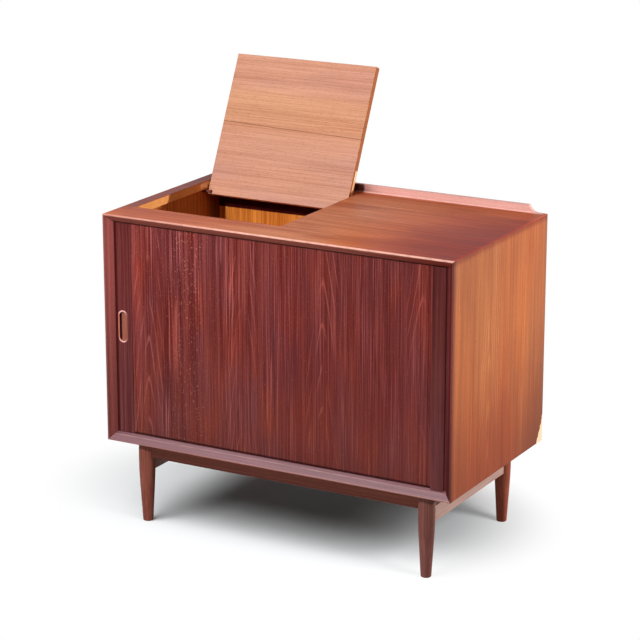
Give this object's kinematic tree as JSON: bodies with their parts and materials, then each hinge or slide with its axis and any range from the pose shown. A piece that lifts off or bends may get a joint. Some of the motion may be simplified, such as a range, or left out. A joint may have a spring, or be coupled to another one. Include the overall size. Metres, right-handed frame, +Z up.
{
  "type": "record cabinet",
  "caption": "Low record cabinet on turned legs: a mitred case closed by a sliding vertical tambour with an oval flush pull, and a hinged lid standing open over a record-player well",
  "frame": {"origin": "on the floor, in the middle of the footprint of the whole cabinet with its lid standing open", "axes": "+X to the right seen from the front, +Y to the back, +Z up"},
  "size_m": [0.9, 0.5748, 1.0401],
  "materials": {
    "top_veneer": "satin, figured veneer",
    "case_wood": "satin",
    "side_veneer": "satin veneer",
    "lip_wood": "satin",
    "back_ply": "thin varnish",
    "inner_wood": "satin",
    "plain_wood": "unfinished",
    "door_veneer": "satin, figured veneer",
    "stile_wood": "satin",
    "pull_wood": "polished",
    "lid_veneer": "satin veneer",
    "leg_wood": "satin",
    "canvas": "coarse cloth",
    "hinge_metal": "brushed",
    "steel": "zinc"
  },
  "bodies": {
    "cabinet": {"case_top": "top_veneer", "case_bottom": "case_wood", "case_left_side": "side_veneer", "case_right_side": "side_veneer", "mitre_splines": "plain_wood", "rear_lip": "lip_wood", "back_panel": "back_ply", "back_screws": "steel", "partition": "inner_wood", "turntable_deck": "inner_wood", "record_shelf": "inner_wood", "record_dividers": "inner_wood", "side_lining": "inner_wood", "back_lining": "inner_wood", "tambour_slats": "door_veneer", "tambour_canvas": "canvas", "fixed_stile": "stile_wood", "case_hinge_leaves": "hinge_metal", "case_hinge_screws": "steel", "hinge_pins": "steel", "lid_stop_pegs": "plain_wood", "lid_rest_cleat": "plain_wood", "leg_front_left": "leg_wood", "leg_front_right": "leg_wood", "leg_rear_left": "leg_wood", "leg_rear_right": "leg_wood", "front_rail": "leg_wood", "rear_rail": "leg_wood", "side_rail_left": "leg_wood", "side_rail_right": "leg_wood", "base_screws": "steel"},
    "door": {"door_stile": "stile_wood", "door_pull": "pull_wood"},
    "lid": {"lid_panel": "lid_veneer", "lid_hinge_leaves": "hinge_metal", "lid_hinge_screws": "steel"}
  },
  "joints": [
    {"name": "tambour_slide", "type": "slide", "parent": "cabinet", "child": "door", "axis": [1, 0, 0], "range_m": [0, 0.775], "deforming": ["tambour_slats", "tambour_canvas"]},
    {"name": "lid_hinge", "type": "hinge", "parent": "cabinet", "child": "lid", "pos_m": [-0.2239, 0.13777, 0.7407], "axis": [1, 0, 0], "range_deg": [0, 115.4]}
  ]
}
